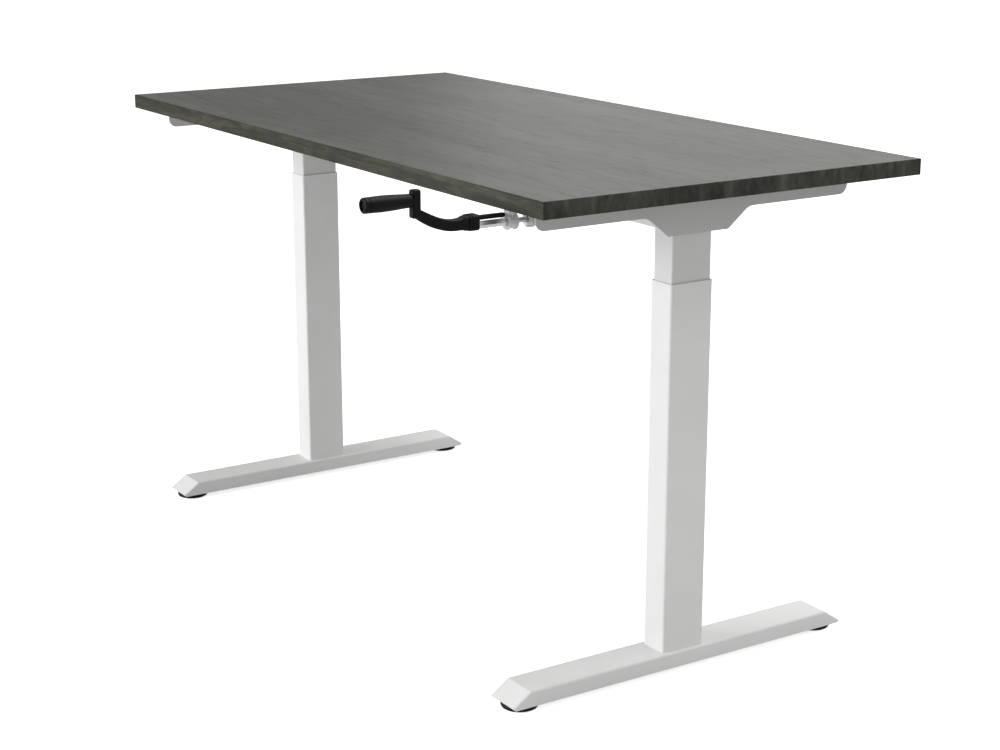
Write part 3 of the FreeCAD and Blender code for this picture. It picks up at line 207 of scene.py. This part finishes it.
# ---------------------------------------------------------------- material helpers
class Finish:
    """A material whose colour, gloss and relief are built up from noise in the object's metres."""

    def __init__(self, name):
        self.material = bpy.data.materials.new(name)
        self.material.use_nodes = True
        self.nodes = self.material.node_tree.nodes
        self.links = self.material.node_tree.links
        self.shader = self.nodes["Principled BSDF"]

    def set(self, socket, value):
        """Fix one of the shader's values."""
        self.shader.inputs[socket].default_value = value

    def feed(self, socket, output):
        """Drive one of the shader's values with a node's output."""
        self.links.new(output, self.shader.inputs[socket])

    def noise(self, stretch, detail, roughness=0.55, distortion=0.0):
        """Noise with stretch cells per metre along X, Y and Z."""
        coordinates = self.nodes.new("ShaderNodeTexCoord")
        mapping = self.nodes.new("ShaderNodeMapping")
        mapping.inputs["Scale"].default_value = stretch
        self.links.new(coordinates.outputs["Object"], mapping.inputs["Vector"])
        texture = self.nodes.new("ShaderNodeTexNoise")
        texture.inputs["Scale"].default_value = 1.0
        texture.inputs["Detail"].default_value = detail
        texture.inputs["Roughness"].default_value = roughness
        texture.inputs["Distortion"].default_value = distortion
        self.links.new(mapping.outputs["Vector"], texture.inputs["Vector"])
        return texture.outputs["Fac"]

    def ramp(self, factor, *stops):
        """Colour ramp; each stop is (position, colour), the colour a grey number or three numbers."""
        node = self.nodes.new("ShaderNodeValToRGB")
        elements = node.color_ramp.elements
        while len(elements) < len(stops):
            elements.new(0.5)
        for element, (position, colour) in zip(elements, stops):
            element.position = position
            rgb = (colour,) * 3 if isinstance(colour, (int, float)) else colour
            element.color = (*rgb, 1)
        self.links.new(factor, node.inputs["Fac"])
        return node.outputs["Color"]

    def multiplied(self, first, second, share=1.0):
        """First colour darkened or lightened by the second, by share."""
        node = self.nodes.new("ShaderNodeMix")
        node.data_type = "RGBA"
        node.blend_type = "MULTIPLY"
        factor, a, b = node.inputs[0], node.inputs[6], node.inputs[7]
        factor.default_value = share
        self.links.new(first, a)
        self.links.new(second, b)
        return node.outputs[2]

    def bump(self, height, strength, distance):
        """Fine relief that follows height, distance metres deep at full strength."""
        node = self.nodes.new("ShaderNodeBump")
        node.inputs["Strength"].default_value = strength
        node.inputs["Distance"].default_value = distance
        self.links.new(height, node.inputs["Height"])
        self.feed("Normal", node.outputs["Normal"])


# ---------------------------------------------------------------- materials
def powder_coat(name, tone):
    """Powder coat: slight cloudiness about a grey tone, fine orange peel, semi-gloss."""
    coat = Finish(name)
    cloud = coat.noise((9, 9, 9), detail=3.0)
    coat.feed("Base Color", coat.ramp(cloud, (0.3, tone), (0.7, tone * 1.05)))
    peel = coat.noise((620, 620, 620), detail=2.0)
    coat.feed("Roughness", coat.ramp(peel, (0.3, 0.34), (0.7, 0.44)))
    coat.bump(peel, strength=0.22, distance=0.3 * MM)
    return coat


def oak_laminate():
    """Dark grey oak print: soft bands, a wavy figure, dark pores along the board, satin face."""
    oak = Finish("dark_oak_laminate")
    bands = oak.noise((1.1, 13, 1), detail=5.0, roughness=0.6, distortion=0.6)
    tone = oak.ramp(
        bands,
        (0.28, (0.040, 0.040, 0.034)),
        (0.50, (0.055, 0.055, 0.048)),
        (0.72, (0.074, 0.074, 0.066)),
    )
    figure = oak.noise((3.2, 62, 3), detail=3.0, roughness=0.55, distortion=1.6)
    figure_tone = oak.ramp(figure, (0.38, (0.84, 0.84, 0.82)), (0.62, (1.10, 1.10, 1.09)))
    pores = oak.noise((16, 300, 16), detail=5.0, roughness=0.6, distortion=0.5)
    pore_tone = oak.ramp(pores, (0.34, (0.50, 0.50, 0.48)), (0.44, (1.0, 1.0, 1.0)))
    patches = oak.noise((2.4, 5, 1), detail=3.0, roughness=0.5, distortion=1.2)
    patch_tone = oak.ramp(patches, (0.3, (0.88, 0.88, 0.87)), (0.7, (1.12, 1.12, 1.13)))
    grained = oak.multiplied(oak.multiplied(tone, figure_tone), pore_tone, share=0.75)
    oak.feed("Base Color", oak.multiplied(grained, patch_tone))
    oak.feed("Roughness", oak.ramp(pores, (0.34, 0.52), (0.46, 0.44)))
    oak.bump(pore_tone, strength=0.10, distance=0.12 * MM)
    return oak


def oak_band(name, stretch, knots, dark, light):
    """Edge band with a mottled oak print; stretch and knots set which way its grain runs."""
    band = Finish(name)
    grain = band.noise(stretch, detail=5.0, roughness=0.62, distortion=0.8)
    tone = band.ramp(grain, (0.40, dark), (0.60, light))
    flecks = band.noise(knots, detail=4.0, roughness=0.65, distortion=1.5)
    fleck_tone = band.ramp(
        flecks, (0.34, (0.50, 0.50, 0.48)), (0.5, (1.0, 1.0, 1.0)), (0.66, (1.45, 1.45, 1.30))
    )
    band.feed("Base Color", band.multiplied(tone, fleck_tone, share=0.9))
    band.feed("Roughness", band.ramp(grain, (0.3, 0.62), (0.7, 0.52)))
    band.set("Specular IOR Level", 0.35)
    band.bump(grain, strength=0.2, distance=0.15 * MM)
    return band


def moulded_plastic(name, dark, light, rough, cells, depth, specular=0.17):
    """Moulded plastic: two close tones and a fine spark-eroded texture, cells to the metre."""
    plastic = Finish(name)
    cloud = plastic.noise((40, 40, 40), detail=3.0)
    plastic.feed("Base Color", plastic.ramp(cloud, (0.3, dark), (0.7, light)))
    grain = plastic.noise((cells, cells, cells), detail=2.0, roughness=0.5)
    low, high = rough
    plastic.feed("Roughness", plastic.ramp(grain, (0.3, low), (0.7, high)))
    plastic.set("Specular IOR Level", specular)
    plastic.bump(grain, strength=0.3, distance=depth)
    return plastic


def milky_plastic():
    """Translucent plastic that lets some light through and scatters the rest."""
    milky = moulded_plastic(
        "milky_plastic",
        dark=(0.92, 0.93, 0.93), light=(0.97, 0.98, 0.98),
        rough=(0.14, 0.22), cells=900, depth=0.1 * MM, specular=0.5,
    )
    milky.set("Transmission Weight", 0.4)
    milky.set("Subsurface Weight", 0.3)
    milky.set("Subsurface Radius", (4 * MM, 4 * MM, 4 * MM))
    milky.set("IOR", 1.49)
    return milky


def metal(name, dark, light, rough, brush, coat=0.0):
    """Bare or plated metal: brushing or casting marks stretched by brush, in colour and gloss."""
    plate = Finish(name)
    plate.set("Metallic", 1.0)
    plate.set("Coat Weight", coat)
    marks = plate.noise(brush, detail=4.0, roughness=0.6)
    plate.feed("Base Color", plate.ramp(marks, (0.3, dark), (0.7, light)))
    low, high = rough
    plate.feed("Roughness", plate.ramp(marks, (0.3, low), (0.7, high)))
    plate.bump(marks, strength=0.1, distance=0.08 * MM)
    return plate


def make_finishes():
    """One finish for each of the record's material slots."""
    return {
        "desk_laminate": oak_laminate(),
        "edge_band": oak_band(
            "oak_band_long",
            stretch=(3, 1, 60), knots=(16, 1, 60),
            dark=(0.016, 0.016, 0.010), light=(0.040, 0.040, 0.026),
        ),
        "white_steel": powder_coat("white_powder_coat", tone=0.80),
        "cast_housing": metal(
            "cast_zinc",
            dark=(0.46, 0.46, 0.46), light=(0.58, 0.58, 0.57),
            rough=(0.45, 0.6), brush=(160, 160, 160),
        ),
        "zinc_steel": metal(
            "zinc_plate",
            dark=(0.52, 0.53, 0.53), light=(0.66, 0.66, 0.65),
            rough=(0.22, 0.36), brush=(90, 30, 60),
        ),
        "bearing_steel": metal(
            "ground_steel",
            dark=(0.42, 0.42, 0.43), light=(0.56, 0.56, 0.56),
            rough=(0.18, 0.3), brush=(300, 300, 300),
        ),
        "bronze": metal(
            "sintered_bronze",
            dark=(0.45, 0.30, 0.14), light=(0.58, 0.40, 0.20),
            rough=(0.35, 0.5), brush=(500, 500, 500),
        ),
        "glide_plastic": moulded_plastic(
            "glide_acetal",
            dark=(0.10, 0.10, 0.10), light=(0.13, 0.13, 0.13),
            rough=(0.4, 0.5), cells=700, depth=0.1 * MM,
        ),
        "crank_chrome": metal(
            "chrome_plate",
            dark=(0.80, 0.80, 0.81), light=(0.90, 0.90, 0.91),
            rough=(0.24, 0.34), brush=(40, 8, 40), coat=0.3,
        ),
        "clear_plastic": milky_plastic(),
        "black_plastic": moulded_plastic(
            "black_nylon",
            dark=(0.0022, 0.0022, 0.0024), light=(0.0036, 0.0036, 0.0038),
            rough=(0.36, 0.50), cells=1500, depth=0.1 * MM,
        ),
        "leveller_plastic": moulded_plastic(
            "black_foot",
            dark=(0.013, 0.013, 0.013), light=(0.02, 0.02, 0.02),
            rough=(0.5, 0.65), cells=1200, depth=0.15 * MM,
        ),
    }


def dress(thing, finish):
    """Give every material slot of an object the same finish."""
    if not thing.data.materials:
        thing.data.materials.append(finish.material)
    for place in thing.material_slots:
        place.material = finish.material


# ---------------------------------------------------------------- mesh helpers
def add_piece(name, mesh, body, slot, replaced):
    """Put a finished mesh in the scene as a piece that rides on a body and stands for CAD nodes."""
    piece = bpy.data.objects.new(name, mesh)
    link(piece)
    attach(piece, body)
    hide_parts(*replaced)
    dress(piece, finishes[slot])
    return piece


def edit(mesh, change):
    """Run change(bmesh) on a mesh and keep the result."""
    work = bmesh.new()
    work.from_mesh(mesh)
    change(work)
    work.to_mesh(mesh)
    work.free()
    return mesh


def smooth(mesh, angle):
    """Smooth shading that stays crisp at edges sharper than angle, in degrees."""
    limit = math.radians(angle)

    def change(work):
        for face in work.faces:
            face.smooth = True
        for edge in work.edges:
            if len(edge.link_faces) == 2:
                edge.smooth = edge.calc_face_angle() < limit

    return edit(mesh, change)


def new_mesh(name, points, faces):
    """Mesh with its faces turned outwards."""
    mesh = bpy.data.meshes.new(name)
    mesh.from_pydata(points, [], faces)
    return edit(mesh, lambda work: bmesh.ops.recalc_face_normals(work, faces=work.faces))


def skin(name, rings, capped=True, looped=False):
    """Skin a stack of equal rings of points: capped, looped back to its start, or left open."""
    count = len(rings[0])
    points = [point for ring in rings for point in ring]
    faces = []
    levels = len(rings) if looped else len(rings) - 1
    for level in range(levels):
        low, high = level * count, (level + 1) % len(rings) * count
        for i in range(count):
            j = (i + 1) % count
            faces.append((low + i, low + j, high + j, high + i))
    if capped and not looped:
        last = (len(rings) - 1) * count
        faces.append(tuple(reversed(range(count))))
        faces.append(tuple(range(last, last + count)))
    return new_mesh(name, points, faces)


def lathe(name, centre, profile, way="Y", flip=1, segments=72, looped=False):
    """Turn a profile of (distance along the axis, radius) about a line along Y or Z."""
    weld = 0.0001 * MM
    rings = []
    for along, radius in profile:
        ring = []
        for i in range(segments):
            angle = 2 * math.pi * i / segments
            across, beside = radius * math.cos(angle), radius * math.sin(angle)
            spot = (across, flip * along, beside) if way == "Y" else (across, beside, flip * along)
            ring.append(Vector(spot) + Vector(centre))
        rings.append(ring)
    mesh = skin(name, rings, capped=False, looped=looped)
    return edit(mesh, lambda work: bmesh.ops.remove_doubles(work, verts=work.verts, dist=weld))


def rounded_section(half_wide, half_high, corner, steps=6):
    """Points round a rectangle with round corners, in its own plane."""
    points = []
    for turn, (side, up) in enumerate(((1, 1), (-1, 1), (-1, -1), (1, -1))):
        middle = (side * (half_wide - corner), up * (half_high - corner))
        for i in range(steps + 1):
            angle = math.pi / 2 * (turn + i / steps)
            points.append(
                (middle[0] + corner * math.cos(angle), middle[1] + corner * math.sin(angle))
            )
    return points


def rolled_edge(radius, steps=6):
    """(distance in from the end face, inset from the side) round a quarter circle."""
    pairs = []
    for i in range(steps + 1):
        angle = math.pi / 2 * i / steps
        pairs.append((radius * (1 - math.cos(angle)), radius * (1 - math.sin(angle))))
    return pairs


def pillow(name, low, high, way, corner, soft):
    """Box between two points, with round corners about one axis and both its ends rolled over."""
    middle = (low + high) / 2
    half = (high - low) / 2
    beside = half.z if way == "Y" else half.y
    least_corner = 0.2 * MM
    start, stop = (low.y, high.y) if way == "Y" else (low.z, high.z)
    places = [(start + along, inset) for along, inset in rolled_edge(soft)]
    places += [(stop - along, inset) for along, inset in reversed(rolled_edge(soft))]
    rings = []
    for place, inset in places:
        turn = max(corner - inset, least_corner)
        section = rounded_section(half.x - inset, beside - inset, turn)
        if way == "Y":
            ring = [(middle.x + across, place, middle.z + up) for across, up in section]
        else:
            ring = [(middle.x + across, middle.y + along, place) for across, along in section]
        rings.append(ring)
    return skin(name, rings)


def join(name, meshes):
    """One mesh from several."""
    whole = bpy.data.meshes.new(name)

    def change(work):
        for mesh in meshes:
            work.from_mesh(mesh)

    return edit(whole, change)


def shaped(mesh, name, *modifiers):
    """A copy of a mesh with modifiers applied; each is (type, settings)."""
    carrier = bpy.data.objects.new(name, mesh)
    link(carrier)
    for kind, settings in modifiers:
        modifier = carrier.modifiers.new(kind, kind)
        for key, value in settings.items():
            setattr(modifier, key, value)
    depsgraph = bpy.context.evaluated_depsgraph_get()
    result = bpy.data.meshes.new_from_object(carrier.evaluated_get(depsgraph))
    result.name = name
    bpy.data.objects.remove(carrier)
    return result


def moulded(name, meshes, voxel, rounds):
    """Melt overlapping closed meshes into one moulding with soft inner and outer edges."""
    return shaped(
        join(name, meshes), name,
        ("REMESH", {"mode": "VOXEL", "voxel_size": voxel}),
        ("SMOOTH", {"factor": 0.5, "iterations": rounds}),
    )


def softened(node, body, slot, width):
    """A CAD node's own shape with its sharp edges rolled over by width."""
    mesh = frame["nodes"][node].data.copy()
    sharp_angle, flat_angle = math.radians(40), math.radians(1)
    weld = 0.001 * MM

    def change(work):
        bmesh.ops.remove_doubles(work, verts=work.verts, dist=weld)
        bmesh.ops.dissolve_limit(
            work, angle_limit=flat_angle, verts=work.verts, edges=work.edges
        )
        sharp = [
            edge for edge in work.edges
            if len(edge.link_faces) == 2 and edge.calc_face_angle() > sharp_angle
        ]
        bmesh.ops.bevel(
            work, geom=sharp, offset=width, segments=3, profile=0.5,
            affect="EDGES", clamp_overlap=True,
        )

    edit(mesh, change)
    mesh.name = node + "_rolled"
    return add_piece(node + "_rolled", smooth(mesh, angle=50), body, slot, [node])


# ---------------------------------------------------------------- crank
def through(stations, share):
    """Values at share (0 to 1) on a smooth curve through stations of (share, value, value, ...)."""
    index = 0
    while index < len(stations) - 2 and share > stations[index + 1][0]:
        index += 1
    start, stop = stations[index], stations[index + 1]
    before = stations[max(index - 1, 0)]
    after = stations[min(index + 2, len(stations) - 1)]
    span = stop[0] - start[0]
    t = (share - start[0]) / span
    values = []
    for a, b, c, d in zip(before[1:], start[1:], stop[1:], after[1:]):
        rise_in = (c - a) / (stop[0] - before[0]) * span
        rise_out = (d - b) / (after[0] - start[0]) * span
        values.append(
            b * (2 * t**3 - 3 * t**2 + 1) + rise_in * (t**3 - 2 * t**2 + t)
            + c * (3 * t**2 - 2 * t**3) + rise_out * (t**3 - t**2)
        )
    return values


def crank_arm_piece():
    """Moulded arm: a shoulder at the collar, a bend upwards, and the upright boss of the grip."""
    boss_long, boss_wide, boss_tall = 14.2 * MM, 13.6 * MM, 39.8 * MM
    boss_low = Vector((CRANK_X - boss_wide / 2, ARM_LOW.y, ARM_HIGH.z - boss_tall))
    boss_high = Vector((CRANK_X + boss_wide / 2, ARM_LOW.y + boss_long, ARM_HIGH.z))
    boss = pillow("boss", boss_low, boss_high, "Z", corner=4 * MM, soft=3 * MM)

    # share of the way to the boss; then height above the shaft, half height, half width in mm
    stations = (
        (0.00, 5.2, 10.2, 10.2),
        (0.06, 5.0, 9.8, 9.6),
        (0.12, 4.6, 8.5, 8.4),
        (0.24, 4.2, 8.1, 8.0),
        (0.37, 5.0, 8.2, 7.7),
        (0.50, 7.6, 8.5, 7.3),
        (0.65, 12.0, 8.8, 6.9),
        (0.80, 17.9, 8.8, 6.6),
        (0.92, 23.3, 8.3, 6.4),
        (1.00, 27.0, 7.2, 6.2),
    )
    run = ARM_HIGH.y - (boss_low.y + boss_high.y) / 2
    steps = 44
    arm_corner = 3.6 * MM
    rings = []
    for i in range(steps + 1):
        rise, half_high, half_wide = through(stations, i / steps)
        y = ARM_HIGH.y - run * i / steps
        section = rounded_section(half_wide * MM, half_high * MM, arm_corner)
        rings.append([(CRANK_X + across, y, CRANK_Z + rise * MM + up) for across, up in section])
    meshes = [skin("arm", rings), boss]
    mesh = moulded("crank_arm_moulding", meshes, voxel=0.6 * MM, rounds=8)
    add_piece("crank_arm_moulding", smooth(mesh, angle=60), "crank", "black_plastic", ["crank_arm"])


def crank_collar_piece():
    """Collar: a block with soft edges and a groove round it next to the arm."""
    lip, groove, sunk = 3 * MM, 0.8 * MM, 0.9 * MM
    corner, core_corner = 5 * MM, 4.2 * MM
    core_soft = 0.5 * MM
    meshes = []
    for start, stop in ((HUB_LOW.y, HUB_LOW.y + lip), (HUB_LOW.y + lip + groove, HUB_HIGH.y)):
        low = Vector((HUB_LOW.x, start, HUB_LOW.z))
        high = Vector((HUB_HIGH.x, stop, HUB_HIGH.z))
        meshes.append(pillow("rib", low, high, "Y", corner, soft=1.2 * MM))
    inset = Vector((sunk, core_soft, sunk))
    meshes.append(pillow("core", HUB_LOW + inset, HUB_HIGH - inset, "Y", core_corner, core_soft))
    mesh = moulded("crank_collar", meshes, voxel=0.35 * MM, rounds=2)
    add_piece("crank_collar", smooth(mesh, angle=60), "crank", "black_plastic", ["crank_hub"])


def crank_tongue_piece():
    """Locking tongue: a flat bar with a round end and rolled edges."""
    low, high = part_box("crank_tongue")
    end_radius = (high.x - low.x) / 2 - 0.1 * MM
    mesh = pillow("locking_tongue", low, high, "Z", end_radius, soft=1.4 * MM)
    add_piece("locking_tongue", smooth(mesh, angle=50), "crank", "black_plastic", ["crank_tongue"])


def grip_piece():
    """Turning grip: a swelling barrel, and a cap with a round recess in its free end."""
    length = GRIP_HIGH.y - GRIP_LOW.y
    full = (GRIP_HIGH.z - GRIP_LOW.z) / 2
    cap = length - 9 * MM
    rim = full * 0.965
    lip = full * 0.64
    groove = 0.8 * MM
    recess = length - 2.8 * MM
    cap_back = recess - 0.45 * MM
    barrel = 1.2 * MM
    waist, swelling, taper_by = 0.835, 0.165, 0.035
    profile = [
        (0.3 * MM, PIN_BORE), (0, PIN_BORE + 0.4 * MM), (0, full * 0.79), (0.5 * MM, full * 0.83),
    ]
    steps = 26
    for i in range(steps + 1):
        share = i / steps
        swell = waist + swelling * math.sin(math.pi / 2 * min(share * 1.35, 1)) ** 1.4
        taper = taper_by * max(share - 0.7, 0) / 0.3
        profile.append((barrel + (cap - barrel) * share, full * (swell - taper)))
    profile += [
        (cap + 0.3 * MM, rim - groove), (cap + 0.9 * MM, rim - groove), (cap + 1.2 * MM, rim),
    ]
    profile += [(length - along, rim - inset) for along, inset in reversed(rolled_edge(2.6 * MM))]
    profile += [(length, lip), (length - 0.5 * MM, lip - 0.5 * MM), (recess, lip - 0.7 * MM)]
    profile += [(recess, 0), (cap_back, 0), (cap_back, PIN_BORE)]
    place = (CRANK_X, GRIP_HIGH.y, GRIP_Z)
    mesh = lathe("grip_barrel", place, profile, "Y", -1, segments=80, looped=True)
    add_piece("grip_barrel", smooth(mesh, angle=40), "grip", "black_plastic", ["crank_grip"])


# ---------------------------------------------------------------- crank bearings
def bearing_piece(node, bore, name):
    """Translucent bearing: a grooved ring round a bore (a radius), a short neck, a mounting plate."""
    low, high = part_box(node)
    long = high.y - low.y
    outside = CRANK_Z - low.z
    waist = outside - 2 * MM
    middle = (bore + outside) / 2
    rim = 3 * MM
    groove = 0.8 * MM
    edge = rolled_edge(0.7 * MM, steps=3)
    face = [(0.5 * MM, bore), (0, bore + 0.6 * MM), (0, middle - 1.1 * MM)]
    face += [(groove, middle - 0.8 * MM), (groove, middle + 0.4 * MM), (0, middle + 0.7 * MM)]
    face += [(along, outside - inset) for along, inset in edge]
    face += [(rim - along, outside - inset) for along, inset in reversed(edge)]
    face += [(rim + 0.4 * MM, waist)]
    profile = face + [(long - along, radius) for along, radius in reversed(face)]
    ring = lathe("ring", (CRANK_X, low.y, CRANK_Z), profile, looped=True)

    plate_thick = 3 * MM
    neck_half, neck_inset = 6.5 * MM, 0.8 * MM
    neck_foot = CRANK_Z + outside * 0.72
    neck_low = Vector((CRANK_X - neck_half, low.y + neck_inset, neck_foot))
    neck_high = Vector((CRANK_X + neck_half, high.y - neck_inset, high.z - plate_thick / 2))
    neck = pillow("neck", neck_low, neck_high, "Z", corner=1.4 * MM, soft=0.4 * MM)
    plate_low = Vector((low.x, low.y, high.z - plate_thick))
    plate = pillow("plate", plate_low, high, "Z", corner=3 * MM, soft=0.8 * MM)
    mesh = smooth(join(name, [ring, neck, plate]), angle=30)
    add_piece(name, mesh, "lift", "clear_plastic", [node])


# ---------------------------------------------------------------- feet
def leveller_piece(body):
    """Levelling disc: rolled rim, a groove round its edge and a raised boss round its stud."""
    node = body + "_disc"
    low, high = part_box(node)
    middle = (low + high) / 2
    tall = high.z - low.z
    wide = (high.x - low.x) / 2
    stud, seat = 4.05 * MM, 3 * MM
    boss_top, boss_foot = 8.8 * MM, 11 * MM
    groove = wide - 0.8 * MM
    sole = [
        (0, 0), (0, wide - 3.6 * MM), (0.5 * MM, wide - 2.4 * MM), (1.4 * MM, wide - 1 * MM),
        (2.6 * MM, wide - 0.3 * MM), (3.4 * MM, wide), (4.2 * MM, wide),
    ]
    side = [
        (4.4 * MM, groove), (5.0 * MM, groove), (5.2 * MM, wide - 0.1 * MM),
        (tall - 1.6 * MM, wide - 0.4 * MM), (tall - 0.7 * MM, wide - 1.1 * MM),
    ]
    top = [
        (tall - 0.4 * MM, wide - 2.4 * MM), (tall - 1.1 * MM, wide - 4 * MM),
        (tall - 1.3 * MM, boss_foot), (tall - 0.2 * MM, 9.5 * MM), (tall, boss_top),
    ]
    socket = [(tall, stud), (seat, stud), (seat, 0)]
    place = (middle.x, middle.y, low.z)
    mesh = lathe(body + "_pad", place, sole + side + top + socket, "Z", segments=96)
    add_piece(body + "_pad", smooth(mesh, angle=40), body, "leveller_plastic", [node])


# ---------------------------------------------------------------- assembly
make_camera()
make_world()
make_lights()
make_floor()
finishes = make_finishes()

node_slot = {part["node"]: part["material_slot"] for part in frame["record"]["subparts"]}
for node, thing in frame["nodes"].items():
    dress(thing, finishes[node_slot[node]])

side_band = oak_band(
    "oak_band_side",
    stretch=(1, 24, 8), knots=(1, 34, 16),
    dark=(0.020, 0.020, 0.016), light=(0.056, 0.057, 0.044),
)
for node in ("front_edge_band", "rear_edge_band", "side_edge_bands"):
    band = softened(node, "lift", "edge_band", BAND_EDGE)
    if node == "side_edge_bands":
        dress(band, side_band)

# The side brackets and the inner tubes take darker copies of the white powder coat: painted shade for
# where the desktop above keeps light off them, not a different paint.
bracket_shade_coat = powder_coat("bracket_painted_shade_coat", tone=0.55)
inner_tube_shade_coat = powder_coat("inner_tube_painted_shade_coat", tone=0.70)
for side in ("right", "left"):
    dress(frame["nodes"][f"{side}_side_bracket"], bracket_shade_coat)
    dress(frame["nodes"][f"{side}_inner_tube"], inner_tube_shade_coat)

crank_arm_piece()
crank_collar_piece()
crank_tongue_piece()
grip_piece()
bearing_piece(
    "front_crank_bearing", (SLEEVE_HIGH.x - SLEEVE_LOW.x) / 2 + SHAFT_GAP, "front_bearing_ring"
)
bearing_piece("rear_crank_bearing", ROD_BORE, "rear_bearing_ring")
for end in ("front", "rear"):
    for side in ("right", "left"):
        leveller_piece(f"{end}_{side}_leveller")

bpy.context.scene.view_settings.view_transform = "Standard"
